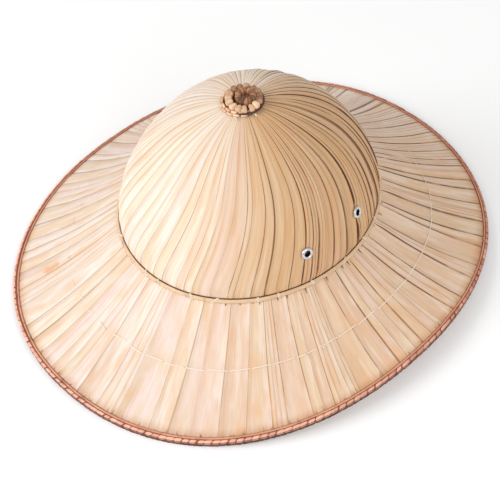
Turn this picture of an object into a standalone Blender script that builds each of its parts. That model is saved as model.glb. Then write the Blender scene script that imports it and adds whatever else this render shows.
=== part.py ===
# A sun helmet of dried palm leaf. A domed crown and a wide drooping brim are laid up from
# overlapping leaves. A cane ring lies in the fold between them, three cane strands bind the rim,
# a coiled cane button closes the top, and each side of the crown has two metal eyelets.
# Metres, +Z up. The hat stands on the low places of its wavy rim, with its front towards -Y.
# Angles round the hat are measured from +Y towards +X.

import math

import bmesh
import bpy
from mathutils import Matrix, Vector

# The rim's outline and the fold between crown and brim, each from the centre out.
RIM_HALF_LENGTH = 0.1800
RIM_HALF_WIDTH = 0.1590
RIM_SQUARENESS = 2.13
RIM_SKEW = 0.009
FOLD_HALF_LENGTH = 0.0955
FOLD_HALF_WIDTH = 0.0875
FOLD_SQUARENESS = 2.02

# Heights: from the mean rim up to the fold, and from the fold up to the top of the leaf.
BRIM_DROP = 0.0490
BRIM_SAG = 0.0042
CROWN_RISE = 0.0930
CROWN_PEAK = 1.26

# The hand-made rim isn't level. Each row is a wave round it, in shares of the brim's drop.
RIM_WAVES = (
    {"lobes": 2, "cosine": -0.041, "sine": 0.0},
    {"lobes": 3, "cosine": 0.0, "sine": -0.041},
    {"lobes": 4, "cosine": 0.029, "sine": 0.0},
)
RIGHT_LOW_DEGREES = 30.0
LEFT_LOW_DEGREES = 240.0

# Leaves: how many, how thick together, and how far each raised edge stands over the next leaf.
LEAF_COUNT = 70
LEAF_WALL = 0.0014
LEAF_STEP = 0.0006
STEP_WIDTH_SHARE = 0.12
LEAF_CROWDING = 0.25
WIDEST_LEAF_DEGREES = 165.0
BRIM_OPEN_SHARES = (0.30, 0.62)
CROWN_UPPER_ROWS = 5
CAP_RADIUS = 0.0070

# Every two pieces that touch keep this gap.
SEAT_GAP = 0.0003

# The cane ring in the fold, seen in section.
FOLD_CANE_WIDTH = 0.0020
FOLD_CANE_HEIGHT = 0.0015

# Rim: the leaf stops inside the outline, two flat strands lie on it and one under its edge.
LEAF_INSET = 0.0012
STRAND_INSET = 0.0003
STRAND_WIDTH = 0.0016
STRAND_HEIGHT = 0.0012
STRAND_SPACING = 0.0004
EDGE_STRAND_WIDTH = 0.0024
EDGE_STRAND_HEIGHT = 0.0020

# Button: a wrapped coil on the crown and a smaller, taller one inside it.
BUTTON_RADIUS = 0.0150
BUTTON_COIL_WIDTH = 0.0068
BUTTON_COIL_HEIGHT = 0.0052
KNOT_COIL_WIDTH = 0.0052
KNOT_COIL_HEIGHT = 0.0072
COIL_SEGMENTS = 24
COIL_SIDES = 7

# Eyelets: turned metal, measured along the barrel from the smooth leaf outwards.
EYELET_BORE = 0.0040
EYELET_BARREL_WALL = 0.0004
EYELET_FLANGE = 0.0086
EYELET_BACK_FLANGE = 0.0068
EYELET_METAL = 0.0004
EYELET_DOME = 0.0008
EYELET_SPACING = 0.0485
EYELET_HEIGHT = 0.0242
EYELET_SIDES = 12

LEAF_COLOUR = (0.78, 0.60, 0.39, 1.0)
CANE_COLOUR = (0.55, 0.24, 0.13, 1.0)
PALE_CANE_COLOUR = (0.72, 0.50, 0.28, 1.0)
METAL_COLOUR = (0.78, 0.78, 0.80, 1.0)


def make_material(name, colour, roughness, metallic=0.0):
    material = bpy.data.materials.new(name)
    material.use_nodes = True
    shader = material.node_tree.nodes["Principled BSDF"]
    shader.inputs["Base Color"].default_value = colour
    shader.inputs["Roughness"].default_value = roughness
    shader.inputs["Metallic"].default_value = metallic
    return material


def leaf_edges():
    # For each leaf, the angle of its raised edge and the angle where that step has come down.
    angles = []
    for number in range(LEAF_COUNT + 1):
        turn = math.tau * number / LEAF_COUNT
        angles.append(math.radians(WIDEST_LEAF_DEGREES) + turn + LEAF_CROWDING * math.sin(turn))
    return [(edge, edge + STEP_WIDTH_SHARE * (after - edge)) for edge, after in zip(angles, angles[1:])]


def oval(angle, half_width, half_length, squareness):
    across = math.sin(angle)
    along = math.cos(angle)
    return Vector((
        half_width * math.copysign(abs(across) ** (2.0 / squareness), across),
        half_length * math.copysign(abs(along) ** (2.0 / squareness), along),
        0.0,
    ))


def fold_plan(angle, grown=0.0):
    return oval(angle, FOLD_HALF_WIDTH + grown, FOLD_HALF_LENGTH + grown, FOLD_SQUARENESS)


def rim_plan(angle):
    skewed = 1.0 + RIM_SKEW * math.sin(2.0 * angle)
    return oval(angle, RIM_HALF_WIDTH, RIM_HALF_LENGTH, RIM_SQUARENESS) * skewed


def listed_wave(angle):
    return sum(
        row["cosine"] * math.cos(row["lobes"] * angle) + row["sine"] * math.sin(row["lobes"] * angle)
        for row in RIM_WAVES
    )


def rim_wave(angle):
    # The listed waves, tipped so that the low places at both sides stand level.
    right_low = math.radians(RIGHT_LOW_DEGREES)
    left_low = math.radians(LEFT_LOW_DEGREES)
    tip = (listed_wave(left_low) - listed_wave(right_low)) / (math.sin(right_low) - math.sin(left_low))
    return BRIM_DROP * (listed_wave(angle) + tip * math.sin(angle))


def upright_wall():
    # The leaf's thickness measured straight down through the sloping brim.
    mean_width = (RIM_HALF_LENGTH + RIM_HALF_WIDTH - FOLD_HALF_LENGTH - FOLD_HALF_WIDTH) / 2
    return LEAF_WALL / math.cos(math.atan2(BRIM_DROP, mean_width))


def rim_height():
    # The leaf's mean height at the rim, with the edge strand under it touching z = 0.
    below_leaf = upright_wall() + SEAT_GAP + EDGE_STRAND_HEIGHT
    lowest = min(rim_wave(edge) for edge, tucked in leaf_edges())
    return below_leaf - lowest


def fold_height():
    return rim_height() + BRIM_DROP


def brim_point(angle, share, extra, lift):
    # On the brim's upper side. Share is 0 at the fold and 1 at the rim's outline, extra is a
    # distance outwards from there in plan, and lift is a height over the leaf.
    fold = fold_plan(angle)
    way = rim_plan(angle) - fold
    out = share + extra / way.length
    slope = max(out, 0.0)
    rim = rim_height() + rim_wave(angle)
    height = fold_height() + (rim - fold_height()) * slope - 4.0 * BRIM_SAG * slope * (1.0 - slope)
    return fold + way * out + Vector((0.0, 0.0, height + lift))


def crown_point(angle, share, grown):
    # On the crown. Share is 0 at the fold and 1 at the very top, grown moves it off the surface.
    turn = share * math.pi / 2
    height = (CROWN_RISE + grown) * math.sin(turn) ** CROWN_PEAK
    return fold_plan(angle, grown) * math.cos(turn) + Vector((0.0, 0.0, crown_foot() + height))


def crown_foot():
    return fold_height() + SEAT_GAP


def share_at_height(height):
    return math.asin((height / CROWN_RISE) ** (1.0 / CROWN_PEAK)) / (math.pi / 2)


def share_at_radius(radius):
    return math.acos(radius / FOLD_HALF_LENGTH) / (math.pi / 2)


def crown_height_over(radius):
    # The crown's height at a distance from its axis, where it falls away slowest.
    return crown_foot() + CROWN_RISE * (1.0 - (radius / FOLD_HALF_LENGTH) ** 2) ** (CROWN_PEAK / 2)


def crown_rows():
    # Share and leaf step of each row. Leaves lie flat where cane or button holds them down.
    held = share_at_height(FOLD_CANE_HEIGHT + SEAT_GAP)
    eyelets = share_at_height(EYELET_HEIGHT)
    button = share_at_radius(BUTTON_RADIUS + SEAT_GAP)
    rows = [(0.0, 0.0), (held, 0.0), ((held + eyelets) / 2, LEAF_STEP)]
    for number in range(CROWN_UPPER_ROWS):
        climbed = number / CROWN_UPPER_ROWS
        rows.append((eyelets + (button - eyelets) * climbed, LEAF_STEP))
    return rows + [(button, 0.0), (share_at_radius(CAP_RADIUS), 0.0)]


def brim_rows():
    # Share, extra and leaf step of each row. The first two carry the foot of the crown.
    bound = STRAND_INSET + 2 * STRAND_WIDTH + STRAND_SPACING + SEAT_GAP
    rows = [(0.0, -LEAF_WALL, 0.0), (0.0, 0.0, 0.0), (0.0, FOLD_CANE_WIDTH + 2 * SEAT_GAP, 0.0)]
    rows += [(share, 0.0, LEAF_STEP) for share in BRIM_OPEN_SHARES]
    return rows + [(1.0, -bound, 0.0), (1.0, -LEAF_INSET, 0.0)]


def join_rows(build, first, second):
    count = len(first)
    for number in range(count):
        after = (number + 1) % count
        build.faces.new((first[number], first[after], second[after], second[number]))


def close_leaf_edge(build, outer, inner):
    # Outer rows have a raised and a tucked point for each leaf, inner rows have one point.
    count = len(inner)
    for number in range(count):
        after = (number + 1) % count
        raised = outer[2 * number]
        tucked = outer[2 * number + 1]
        build.faces.new((raised, tucked, inner[number]))
        build.faces.new((tucked, outer[2 * after], inner[after], inner[number]))


def finish_object(name, build, material):
    bmesh.ops.triangulate(build, faces=build.faces[:])
    bmesh.ops.recalc_face_normals(build, faces=build.faces[:])
    mesh = bpy.data.meshes.new(name)
    build.to_mesh(mesh)
    build.free()
    mesh.materials.append(material)
    piece = bpy.data.objects.new(name, mesh)
    bpy.context.scene.collection.objects.link(piece)
    return piece


def make_leaf_shell(name, outer_rows, inner_rows, has_cap, material):
    build = bmesh.new()
    outer = [[build.verts.new(point) for point in row] for row in outer_rows]
    inner = [[build.verts.new(point) for point in row] for row in inner_rows]
    for rows in (outer, inner):
        for first, second in zip(rows, rows[1:]):
            join_rows(build, first, second)
    close_leaf_edge(build, outer[0], inner[0])
    if has_cap:
        build.faces.new(outer[-1])
        build.faces.new(inner[-1])
    else:
        close_leaf_edge(build, outer[-1], inner[-1])
    return finish_object(name, build, material)


def make_hoop(name, rows, material):
    # A closed ring: each row runs right round it, and the last row joins the first.
    build = bmesh.new()
    made = [[build.verts.new(point) for point in row] for row in rows]
    for first, second in zip(made, made[1:] + made[:1]):
        join_rows(build, first, second)
    return finish_object(name, build, material)


def leaf_row(place, step):
    row = []
    for edge, tucked in leaf_edges():
        row += [place(edge, step), place(tucked, 0.0)]
    return row


def make_crown(material):
    outer = []
    inner = []
    for share, step in crown_rows():
        outer.append(leaf_row(lambda angle, lift: crown_point(angle, share, lift), step))
        inner.append([crown_point(edge, share, -LEAF_WALL) for edge, tucked in leaf_edges()])
    return make_leaf_shell("crown", outer, inner, True, material)


def make_brim(material):
    outer = []
    inner = []
    for share, extra, step in brim_rows():
        outer.append(leaf_row(lambda angle, lift: brim_point(angle, share, extra, lift), step))
        inner.append([brim_point(edge, share, extra, -upright_wall()) for edge, tucked in leaf_edges()])
    return make_leaf_shell("brim", outer, inner, False, material)


def make_cane(name, share, section, material):
    # Section points are (extra, lift) on the brim, going round the cane.
    rows = [
        [brim_point(edge, share, extra, lift) for edge, tucked in leaf_edges()]
        for extra, lift in section
    ]
    return make_hoop(name, rows, material)


def make_fold_cane(material):
    inside = SEAT_GAP
    outside = SEAT_GAP + FOLD_CANE_WIDTH
    foot = SEAT_GAP
    top = SEAT_GAP + FOLD_CANE_HEIGHT
    section = (
        (inside, foot),
        (outside, foot),
        (outside, (foot + top) / 2),
        ((inside + outside) / 2, top),
        (inside, (foot + top) / 2),
    )
    return make_cane("fold_cane", 0.0, section, material)


def make_rim_strand(name, inset, width, foot, height, material):
    # A flat strand with a rounded back, whose outer side lies inset from the rim's outline.
    outside = -inset
    inside = -inset - width
    back = foot + height
    shoulder = foot + 0.6 * height
    section = (
        (inside, foot),
        (outside, foot),
        (outside, shoulder),
        ((inside + outside) / 2, back),
        (inside, shoulder),
    )
    return make_cane(name, 1.0, section, material)


def make_coil(name, centre_radius, width, height, material):
    # An oval ring round the crown's axis, let down until it clears the leaf by the gap.
    section = []
    for number in range(COIL_SIDES):
        turn = math.tau * number / COIL_SIDES
        section.append((centre_radius + width / 2 * math.cos(turn), height / 2 * math.sin(turn)))
    centre_height = SEAT_GAP + max(crown_height_over(radius) - lift for radius, lift in section)
    rows = []
    for radius, lift in section:
        row = []
        for number in range(COIL_SEGMENTS):
            turn = math.tau * number / COIL_SEGMENTS
            row.append(Vector((radius * math.cos(turn), radius * math.sin(turn), centre_height + lift)))
        rows.append(row)
    return make_hoop(name, rows, material)


def eyelet_place(side, along):
    # Location and turn of one eyelet. Its barrel's local Z points straight out of the leaf.
    share = share_at_height(EYELET_HEIGHT)
    narrow = math.cos(share * math.pi / 2)
    reach = along / (FOLD_HALF_LENGTH * narrow)
    angle = side * math.acos(math.copysign(abs(reach) ** (FOLD_SQUARENESS / 2.0), reach))
    nudge = 0.001
    across = crown_point(angle + nudge, share, 0.0) - crown_point(angle - nudge, share, 0.0)
    upward = crown_point(angle, share + nudge, 0.0) - crown_point(angle, share - nudge, 0.0)
    outward = upward.cross(across).normalized()
    turned = outward.to_track_quat("Z", "Y").to_matrix().to_4x4()
    return Matrix.Translation(crown_point(angle, share, 0.0)) @ turned


def turned_rows(profile):
    rows = []
    for radius, height in profile:
        row = []
        for number in range(EYELET_SIDES):
            turn = math.tau * number / EYELET_SIDES
            row.append(Vector((radius * math.cos(turn), radius * math.sin(turn), height)))
        rows.append(row)
    return rows


def barrel_radius():
    return EYELET_BORE / 2 + EYELET_BARREL_WALL


def make_eyelet(name, place, material):
    bore = EYELET_BORE / 2
    flange = EYELET_FLANGE / 2
    back_flange = EYELET_BACK_FLANGE / 2
    seat = LEAF_STEP + SEAT_GAP
    back = -LEAF_WALL - SEAT_GAP
    profile = (
        (bore, seat + EYELET_DOME / 2),
        ((bore + flange) / 2, seat + EYELET_DOME),
        (flange, seat + EYELET_METAL),
        (flange, seat),
        (barrel_radius(), seat),
        (barrel_radius(), back),
        (back_flange, back),
        (back_flange, back - EYELET_METAL),
        (bore, back - EYELET_METAL),
    )
    piece = make_hoop(name, turned_rows(profile), material)
    piece.matrix_world = place
    return piece


def cut_eyelet_hole(crown, name, place, material):
    # A closed drum a little wider than the barrel, longer than the wall is thick.
    radius = barrel_radius() + SEAT_GAP
    reach = 2 * (LEAF_WALL + LEAF_STEP)
    build = bmesh.new()
    rows = turned_rows(((radius, -reach), (radius, reach)))
    ends = [[build.verts.new(point) for point in row] for row in rows]
    join_rows(build, ends[0], ends[1])
    for end in ends:
        build.faces.new(end)
    cutter = finish_object(name + "_hole", build, material)
    cutter.matrix_world = place
    cutter.hide_render = True
    cutter.display_type = "WIRE"
    hole = crown.modifiers.new(name + "_hole", "BOOLEAN")
    hole.operation = "DIFFERENCE"
    hole.solver = "EXACT"
    hole.object = cutter


def build_hat():
    leaf = make_material("palm_leaf", LEAF_COLOUR, 0.7)
    cane = make_material("rim_cane", CANE_COLOUR, 0.5)
    pale_cane = make_material("pale_cane", PALE_CANE_COLOUR, 0.55)
    metal = make_material("nickel", METAL_COLOUR, 0.3, 1.0)

    crown = make_crown(leaf)
    make_brim(leaf)
    make_fold_cane(pale_cane)

    inner_inset = STRAND_INSET + STRAND_WIDTH + STRAND_SPACING
    under_leaf = -upright_wall() - SEAT_GAP - EDGE_STRAND_HEIGHT
    make_rim_strand("rim_cane_outer", STRAND_INSET, STRAND_WIDTH, SEAT_GAP, STRAND_HEIGHT, cane)
    make_rim_strand("rim_cane_inner", inner_inset, STRAND_WIDTH, SEAT_GAP, STRAND_HEIGHT, cane)
    make_rim_strand("rim_cane_edge", 0.0, EDGE_STRAND_WIDTH, under_leaf, EDGE_STRAND_HEIGHT, cane)

    button_centre = BUTTON_RADIUS - BUTTON_COIL_WIDTH / 2
    knot_centre = BUTTON_RADIUS - BUTTON_COIL_WIDTH - SEAT_GAP - KNOT_COIL_WIDTH / 2
    make_coil("button_ring", button_centre, BUTTON_COIL_WIDTH, BUTTON_COIL_HEIGHT, pale_cane)
    make_coil("button_knot", knot_centre, KNOT_COIL_WIDTH, KNOT_COIL_HEIGHT, cane)

    for side_name, side in (("left", 1), ("right", -1)):
        for end_name, end in (("front", -1), ("back", 1)):
            name = f"eyelet_{side_name}_{end_name}"
            place = eyelet_place(side, end * EYELET_SPACING / 2)
            make_eyelet(name, place, metal)
            cut_eyelet_hole(crown, name, place, metal)


for existing in list(bpy.data.objects):
    bpy.data.objects.remove(existing)
build_hat()
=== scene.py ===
# A sun helmet of dried palm leaf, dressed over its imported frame.
# Metres, +Z up, front towards -Y. Angles round the hat run from +Y towards +X.
import math

import bmesh
import bpy
from mathutils import Matrix, Vector


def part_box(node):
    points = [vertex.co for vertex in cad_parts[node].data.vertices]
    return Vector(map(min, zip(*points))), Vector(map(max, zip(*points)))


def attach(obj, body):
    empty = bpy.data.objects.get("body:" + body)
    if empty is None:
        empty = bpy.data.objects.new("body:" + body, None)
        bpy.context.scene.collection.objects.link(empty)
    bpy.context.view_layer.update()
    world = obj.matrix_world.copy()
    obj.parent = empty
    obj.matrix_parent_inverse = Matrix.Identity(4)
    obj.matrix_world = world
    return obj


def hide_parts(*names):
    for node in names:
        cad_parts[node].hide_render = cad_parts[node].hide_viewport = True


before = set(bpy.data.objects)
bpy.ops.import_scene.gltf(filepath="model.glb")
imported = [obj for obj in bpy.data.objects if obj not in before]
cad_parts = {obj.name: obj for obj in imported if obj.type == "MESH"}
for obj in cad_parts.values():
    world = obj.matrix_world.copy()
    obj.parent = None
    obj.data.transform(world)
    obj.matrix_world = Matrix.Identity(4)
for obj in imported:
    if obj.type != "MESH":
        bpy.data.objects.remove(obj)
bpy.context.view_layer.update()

print("frame loaded")

# The hat's plan and heights, as its frame was built.
hatForm = {
    "rimHalfLength": 0.1800,
    "rimHalfWidth": 0.1590,
    "rimSquareness": 2.13,
    "rimSkew": 0.009,
    "foldHalfLength": 0.0955,
    "foldHalfWidth": 0.0875,
    "foldSquareness": 2.02,
    "brimDrop": 0.0490,
    "brimSag": 0.0042,
    "crownRise": 0.0930,
    "crownPeak": 1.26,
    "leafWall": 0.0014,
    "seatGap": 0.0003,
    "rightLow": math.radians(30.0),
    "leftLow": math.radians(240.0),
}
rimWaves = (
    {"lobes": 2, "cosine": -0.041, "sine": 0.0},
    {"lobes": 3, "cosine": 0.0, "sine": -0.041},
    {"lobes": 4, "cosine": 0.029, "sine": 0.0},
)
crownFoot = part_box("crown")[0].z
foldHeight = crownFoot - hatForm["seatGap"]
rimHeight = foldHeight - hatForm["brimDrop"]


# Sums on sockets read like sums on numbers.
class Wire:
    def __init__(self, bench, socket):
        self.bench = bench
        self.socket = socket

    def other(self, name):
        return Wire(self.bench, pickSocket(self.socket.node.outputs, name))

    def __add__(self, term):
        return maths("ADD", self, term)

    def __radd__(self, term):
        return maths("ADD", term, self)

    def __sub__(self, term):
        return maths("SUBTRACT", self, term)

    def __rsub__(self, term):
        return maths("SUBTRACT", term, self)

    def __mul__(self, term):
        return maths("MULTIPLY", self, term)

    def __rmul__(self, term):
        return maths("MULTIPLY", term, self)

    def __truediv__(self, term):
        return maths("DIVIDE", self, term)

    def __rtruediv__(self, term):
        return maths("DIVIDE", term, self)

    def __pow__(self, term):
        return maths("POWER", self, term)

    def __mod__(self, term):
        return maths("FLOORED_MODULO", self, term)

    def __neg__(self):
        return maths("MULTIPLY", self, -1.0)


# Adds nodes to one tree, a shader's or a shape's.
class Bench:
    def __init__(self, tree):
        self.tree = tree

    def node(self, kind, settings=None, values=None, output=None):
        made = self.tree.nodes.new(kind)
        for name, setting in (settings or {}).items():
            if name == "stops":
                setStops(made.color_ramp, setting)
            else:
                setattr(made, name, setting)
        for name, value in (values or {}).items():
            self.join(value, pickSocket(made.inputs, name))
        return Wire(self, pickSocket(made.outputs, output))

    def join(self, value, socket):
        if isinstance(value, Wire):
            self.tree.links.new(value.socket, socket)
        else:
            socket.default_value = value


def pickSocket(sockets, name):
    # By number, by name, or the first one in use.
    if isinstance(name, int):
        return sockets[name]
    return next(socket for socket in sockets if socket.enabled and name in (None, socket.name))


def setStops(ramp, stops):
    while len(ramp.elements) < len(stops):
        ramp.elements.new(1.0)
    for element, (place, colour) in zip(ramp.elements, stops):
        element.position = place
        element.color = (*colour, 1.0)


plainMaths = {
    "SINE": math.sin,
    "COSINE": math.cos,
    "POWER": math.pow,
    "ABSOLUTE": abs,
    "SIGN": lambda term: math.copysign(1.0, term),
    "SQRT": math.sqrt,
    "MINIMUM": min,
    "MAXIMUM": max,
    "FLOOR": math.floor,
}


def maths(operation, *terms):
    # Plain numbers are worked out here, and a socket among them makes a Math node.
    wired = [term for term in terms if isinstance(term, Wire)]
    if not wired:
        return plainMaths[operation](*terms)
    return wired[0].bench.node("ShaderNodeMath", {"operation": operation}, dict(enumerate(terms)))


def sine(term):
    return maths("SINE", term)


def cosine(term):
    return maths("COSINE", term)


def magnitude(term):
    return maths("ABSOLUTE", term)


def between(first, second, share):
    return first + (second - first) * share


def ease(term, low, high):
    # 0 at low, 1 at high, and a soft curve between.
    values = {"Value": term, "From Min": low, "From Max": high}
    return term.bench.node("ShaderNodeMapRange", {"interpolation_type": "SMOOTHSTEP"}, values)


def noise(where, scale=1.0, detail=2.0, roughness=0.5):
    values = {"Vector": where, "Scale": scale, "Detail": detail, "Roughness": roughness}
    return where.bench.node("ShaderNodeTexNoise", {}, values)


# The two leaf surfaces. They take numbers, or sockets inside a tree.
def oval(angle, halfWidth, halfLength, squareness):
    across = sine(angle)
    along = cosine(angle)
    x = maths("SIGN", across) * maths("POWER", magnitude(across), 2.0 / squareness) * halfWidth
    y = maths("SIGN", along) * maths("POWER", magnitude(along), 2.0 / squareness) * halfLength
    return x, y


def foldPlan(angle, grown=0.0):
    halfWidth = hatForm["foldHalfWidth"] + grown
    halfLength = hatForm["foldHalfLength"] + grown
    return oval(angle, halfWidth, halfLength, hatForm["foldSquareness"])


def rimPlan(angle):
    skewed = 1.0 + hatForm["rimSkew"] * sine(angle * 2.0)
    x, y = oval(angle, hatForm["rimHalfWidth"], hatForm["rimHalfLength"], hatForm["rimSquareness"])
    return x * skewed, y * skewed


def listedWave(angle):
    total = 0.0
    for row in rimWaves:
        turn = angle * row["lobes"]
        total = total + row["cosine"] * cosine(turn) + row["sine"] * sine(turn)
    return total


# The rim is tipped so that its low places at both sides stand level.
rightLow = hatForm["rightLow"]
leftLow = hatForm["leftLow"]
rimTip = (listedWave(leftLow) - listedWave(rightLow)) / (math.sin(rightLow) - math.sin(leftLow))


def rimWave(angle):
    return hatForm["brimDrop"] * (listedWave(angle) + rimTip * sine(angle))


def brimPlace(angle, share, extra, lift):
    # Share is 0 at the fold and 1 at the rim, extra is a way outwards, lift a height over the leaf.
    foldX, foldY = foldPlan(angle)
    rimX, rimY = rimPlan(angle)
    wayX = rimX - foldX
    wayY = rimY - foldY
    out = share + extra / maths("SQRT", wayX * wayX + wayY * wayY)
    slope = maths("MAXIMUM", out, 0.0)
    drop = rimHeight + rimWave(angle) - foldHeight
    height = foldHeight + drop * slope - 4.0 * hatForm["brimSag"] * slope * (1.0 - slope) + lift
    return foldX + wayX * out, foldY + wayY * out, height


def crownPlace(angle, share, grown):
    # Share is 0 at the fold and 1 at the very top, grown moves it off the surface.
    turn = share * (math.pi / 2)
    x, y = foldPlan(angle, grown)
    climb = maths("POWER", maths("MAXIMUM", sine(turn), 0.0), hatForm["crownPeak"])
    height = crownFoot + (hatForm["crownRise"] + grown) * climb
    return x * cosine(turn), y * cosine(turn), height


# Shape trees: each has a named input for every size in its dictionary.
def store(geometry, name, value, kind="FLOAT", domain="POINT"):
    values = {"Geometry": geometry, "Name": name, "Value": value}
    settings = {"data_type": kind, "domain": domain}
    return geometry.bench.node("GeometryNodeStoreNamedAttribute", settings, values)


def storeAll(geometry, values):
    for name, value in values.items():
        geometry = store(geometry, name, value)
    return geometry


def stored(bench, name, kind="FLOAT"):
    return bench.node("GeometryNodeInputNamedAttribute", {"data_type": kind}, {"Name": name})


def chance(number, seed, low=0.0, high=1.0):
    values = {"Min": low, "Max": high, "ID": number, "Seed": seed}
    return number.bench.node("FunctionNodeRandomValue", {"data_type": "FLOAT"}, values)


def split(vector):
    x = vector.bench.node("ShaderNodeSeparateXYZ", {}, {"Vector": vector})
    return x, x.other("Y"), x.other("Z")


def gather(bench, x, y, z):
    return bench.node("ShaderNodeCombineXYZ", {}, {"X": x, "Y": y, "Z": z})


def sheet(bench, columns, rows):
    # A flat square, 1 by 1. Its X goes across a piece and its Y along it.
    return bench.node("GeometryNodeMeshGrid", {}, {
        "Size X": 1.0, "Size Y": 1.0, "Vertices X": columns, "Vertices Y": rows})


def copyUnit(unit, count):
    # One copy of the unit for each number from 0 up, and each point's place in its unit.
    bench = unit.bench
    shaped = store(unit, "local", bench.node("GeometryNodeInputPosition"), "FLOAT_VECTOR")
    points = bench.node("GeometryNodeMeshLine", {}, {"Count": count})
    copies = bench.node("GeometryNodeInstanceOnPoints", {}, {"Points": points, "Instance": shaped})
    counted = store(copies, "number", bench.node("GeometryNodeInputIndex"), "FLOAT", "INSTANCE")
    realized = bench.node("GeometryNodeRealizeInstances", {}, {"Geometry": counted})
    return realized, split(stored(bench, "local", "FLOAT_VECTOR")), stored(bench, "number")


def moveTo(geometry, place):
    values = {"Geometry": geometry, "Position": gather(geometry.bench, *place)}
    return geometry.bench.node("GeometryNodeSetPosition", {}, values)


weldDistance = 0.00001


def weld(geometry, distance=weldDistance):
    values = {"Geometry": geometry, "Distance": distance}
    return geometry.bench.node("GeometryNodeMergeByDistance", {}, values)


def sealMesh(mesh):
    # Closes the open ends of tubes and turns every face outwards.
    build = bmesh.new()
    build.from_mesh(mesh)
    rims = [edge for edge in build.edges if edge.is_boundary]
    bmesh.ops.holes_fill(build, edges=rims, sides=0)
    bmesh.ops.recalc_face_normals(build, faces=build.faces[:])
    build.to_mesh(mesh)
    build.free()


def addObject(name, content):
    added = bpy.data.objects.new(name, content)
    bpy.context.scene.collection.objects.link(added)
    return added


def growPiece(name, sizes, layOut, material, solid=True):
    # Builds the tree, runs it once and keeps the result as a plain mesh.
    tree = bpy.data.node_groups.new(name, "GeometryNodeTree")
    tree.interface.new_socket(name="Geometry", in_out="OUTPUT", socket_type="NodeSocketGeometry")
    identifiers = {}
    for label, value in sizes.items():
        kind = "NodeSocketInt" if isinstance(value, int) else "NodeSocketFloat"
        socket = tree.interface.new_socket(name=label, in_out="INPUT", socket_type=kind)
        identifiers[label] = socket.identifier
    bench = Bench(tree)
    entry = tree.nodes.new("NodeGroupInput")
    inputs = {label: Wire(bench, pickSocket(entry.outputs, label)) for label in sizes}
    smooth = bench.node("GeometryNodeSetShadeSmooth", {}, {"Geometry": layOut(bench, inputs)})
    realized = bench.node("GeometryNodeRealizeInstances", {}, {"Geometry": smooth})
    finished = bench.node("GeometryNodeSetMaterial", {}, {"Geometry": realized, "Material": material})
    leave = tree.nodes.new("NodeGroupOutput")
    tree.links.new(finished.socket, leave.inputs["Geometry"])

    grower = addObject(name + "_grower", bpy.data.meshes.new(name + "_grower"))
    modifier = grower.modifiers.new(name, "NODES")
    modifier.node_group = tree
    for label, value in sizes.items():
        modifier[identifiers[label]] = value
    depsgraph = bpy.context.evaluated_depsgraph_get()
    evaluated = grower.evaluated_get(depsgraph)
    mesh = bpy.data.meshes.new_from_object(evaluated, preserve_all_data_layers=True, depsgraph=depsgraph)
    bpy.data.objects.remove(grower)
    if solid:
        sealMesh(mesh)
    mesh.name = name
    mesh.materials.clear()
    mesh.materials.append(material)
    print(name, len(mesh.polygons), "faces")
    return addObject(name, mesh)


def settle(piece, slotName, *nodes):
    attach(piece, "root")
    if nodes:
        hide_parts(*nodes)


def dress(name, sizes, layOut, material, slotName, *nodes):
    settle(growPiece(name, sizes, layOut, material), slotName, *nodes)


# Finishes: each takes a colour, a roughness and a fine relief from the piece's own attributes.
def startFinish(name):
    material = bpy.data.materials.new(name)
    material.use_nodes = True
    return material, Bench(material.node_tree)


def attributes(bench, *labels):
    return [bench.node("ShaderNodeAttribute", {"attribute_name": label}, {}, "Fac") for label in labels]


def objectPlace(bench):
    return bench.node("ShaderNodeTexCoord", {}, {}, "Object")


def blend(first, second, factor, kind="MIX"):
    # A colour here is a socket, or its three parts as plain numbers.
    bench = (factor if isinstance(factor, Wire) else first).bench
    first, second = (colour if isinstance(colour, Wire) else (*colour, 1.0) for colour in (first, second))
    return bench.node("ShaderNodeMix", {"data_type": "RGBA", "blend_type": kind}, {
        "Factor": factor, "A": first, "B": second})


constantSockets = {"specular": "Specular IOR Level", "metallic": "Metallic"}


def endFinish(material, colour, roughness, relief, strength, depth, **constants):
    shader = material.node_tree.nodes["Principled BSDF"]
    for name, value in constants.items():
        shader.inputs[constantSockets[name]].default_value = value
    bump = colour.bench.node("ShaderNodeBump", {}, {
        "Height": relief, "Strength": strength, "Distance": depth}, "Normal")
    for name, wire in (("Base Color", colour), ("Roughness", roughness), ("Normal", bump)):
        wire.bench.join(wire, shader.inputs[name])
    return material


# Eyelet places on the crown, two on each side.
eyeletForm = {
    "bore": 0.0040,
    "flange": 0.0086,
    "spacing": 0.0485,
    "height": 0.0242,
}


def shareAtHeight(height):
    return math.asin((height / hatForm["crownRise"]) ** (1.0 / hatForm["crownPeak"])) / (math.pi / 2)


def shareAtRadius(radius):
    return math.acos(radius / hatForm["foldHalfLength"]) / (math.pi / 2)


def eyeletAngle(side, end):
    narrow = math.cos(shareAtHeight(eyeletForm["height"]) * math.pi / 2)
    reach = end * eyeletForm["spacing"] / 2 / (hatForm["foldHalfLength"] * narrow)
    return side * math.acos(math.copysign(abs(reach) ** (hatForm["foldSquareness"] / 2), reach))


def eyeletMatrix(side, end):
    angle = eyeletAngle(side, end)
    share = shareAtHeight(eyeletForm["height"])
    nudge = 0.001
    across = Vector(crownPlace(angle + nudge, share, 0.0)) - Vector(crownPlace(angle - nudge, share, 0.0))
    upward = Vector(crownPlace(angle, share + nudge, 0.0)) - Vector(crownPlace(angle, share - nudge, 0.0))
    outward = upward.cross(across).normalized()
    turned = outward.to_track_quat("Z", "Y").to_matrix().to_4x4()
    return Matrix.Translation(crownPlace(angle, share, 0.0)) @ turned


eyelets = {}
for sideName, side in (("left", 1), ("right", -1)):
    for endName, end in (("front", -1), ("back", 1)):
        eyelets[f"eyelet_{sideName}_{endName}"] = eyeletMatrix(side, end)


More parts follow.
